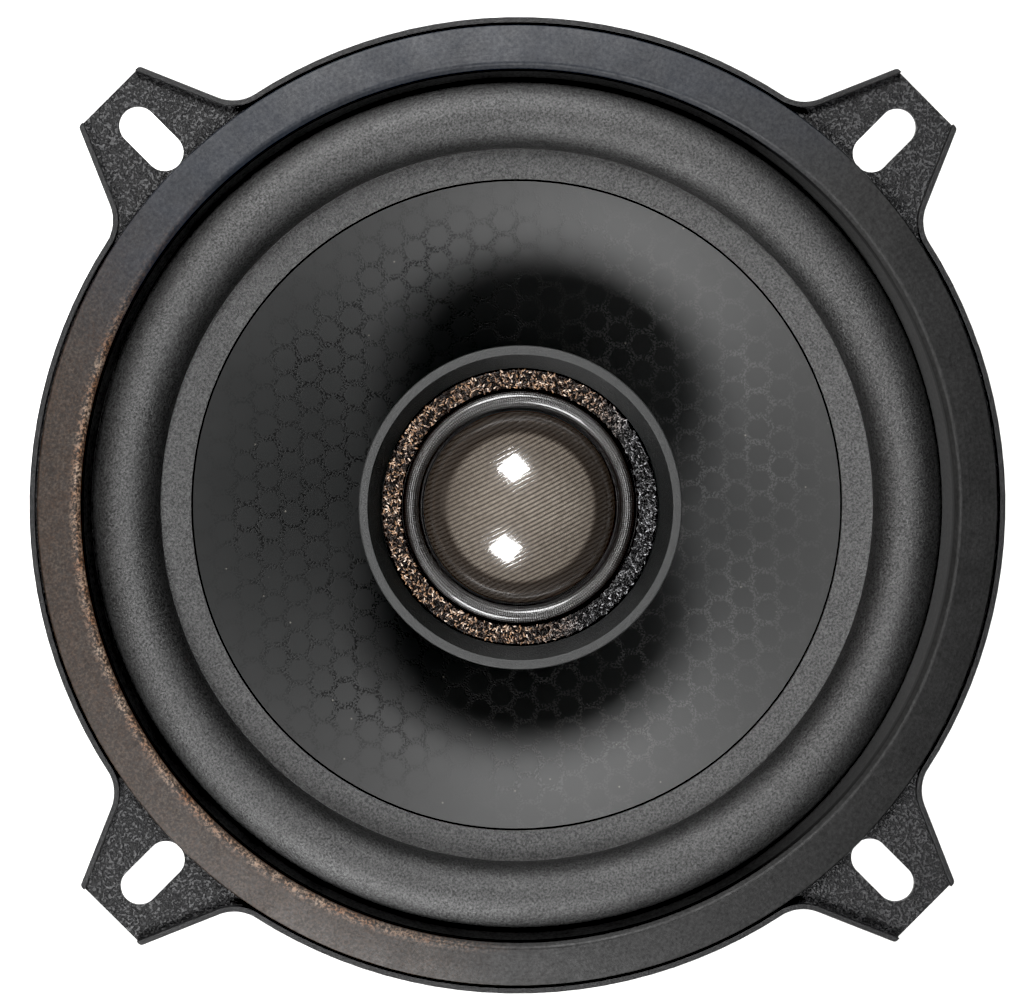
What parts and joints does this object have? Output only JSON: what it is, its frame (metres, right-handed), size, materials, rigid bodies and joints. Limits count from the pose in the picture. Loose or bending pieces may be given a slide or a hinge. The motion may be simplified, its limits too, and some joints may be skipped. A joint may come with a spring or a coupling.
{
  "type": "coaxial car speaker",
  "caption": "Coaxial car loudspeaker: a cone driver with a dome tweeter on a post at its centre, in a pressed steel basket with slotted mounting ears.",
  "frame": {"origin": "centre of the mounting plane, the rear face of the flange", "axes": "+Z is the way the sound leaves, out of the front; the ears lie along +X, -X, +Y and -Y; the terminals lie between +X and -Y"},
  "size_m": [0.1538, 0.1538, 0.0691],
  "materials": {
    "powder_coated_steel": "matte",
    "zinc_plated_steel": "satin",
    "ferrite": "matte",
    "boot_rubber": "matte",
    "gasket_rubber": "satin",
    "surround_rubber": "matte",
    "cone_polypropylene": "matte",
    "coil_former_film": "satin",
    "enamelled_wire": "gloss",
    "spider_cloth": "matte",
    "tinsel_braid": "satin",
    "amber_adhesive": "gloss",
    "board_plastic": "satin",
    "tinned_brass": "satin",
    "capacitor_sleeve": "gloss",
    "tinned_wire": "gloss",
    "wire_insulation": "satin",
    "black_anodised_aluminium": "satin",
    "housing_abs": "matte",
    "flocked_cloth": "matte",
    "coated_silk": "gloss",
    "dome_silk": "gloss",
    "nickel_plated_magnet": "gloss",
    "felt": "matte"
  },
  "bodies": {
    "frame": {"basket": "powder_coated_steel", "plate_rivets": "zinc_plated_steel", "top_plate": "zinc_plated_steel", "ring_magnet": "ferrite", "back_plate": "zinc_plated_steel", "magnet_boot": "boot_rubber", "front_gasket": "gasket_rubber", "surround": "surround_rubber", "spider": "spider_cloth", "tinsel_leads": "tinsel_braid", "terminal_board": "board_plastic", "board_screw": "zinc_plated_steel", "positive_spade": "tinned_brass", "negative_spade": "tinned_brass", "spade_rivets": "tinned_brass", "solder_lugs": "tinned_brass", "crossover_capacitor": "capacitor_sleeve", "capacitor_leads": "tinned_wire", "tweeter_leads": "wire_insulation", "tweeter_post": "black_anodised_aluminium", "post_washer": "zinc_plated_steel", "post_nut": "zinc_plated_steel", "tweeter_housing": "housing_abs", "tweeter_back_cap": "housing_abs", "tweeter_trim_ring": "flocked_cloth", "tweeter_suspension": "coated_silk", "tweeter_pot": "zinc_plated_steel", "tweeter_magnet": "nickel_plated_magnet", "tweeter_pole_plate": "zinc_plated_steel", "damping_pad": "felt"},
    "cone_assembly": {"cone": "cone_polypropylene", "coil_former": "coil_former_film", "coil_winding": "enamelled_wire", "lead_anchors": "amber_adhesive"},
    "tweeter_diaphragm": {"tweeter_dome": "dome_silk", "tweeter_former": "coil_former_film", "tweeter_winding": "enamelled_wire"}
  },
  "joints": [
    {"name": "cone_travel", "type": "slide", "parent": "frame", "child": "cone_assembly", "axis": [0, 0, 1], "range_m": [-0.004, 0.004], "stiffness_N_per_m": 1500, "deforming": ["surround", "spider", "tinsel_leads"]},
    {"name": "dome_travel", "type": "slide", "parent": "frame", "child": "tweeter_diaphragm", "axis": [0, 0, 1], "range_m": [-0.0003, 0.0003], "stiffness_N_per_m": 3000, "deforming": ["tweeter_suspension"]}
  ]
}
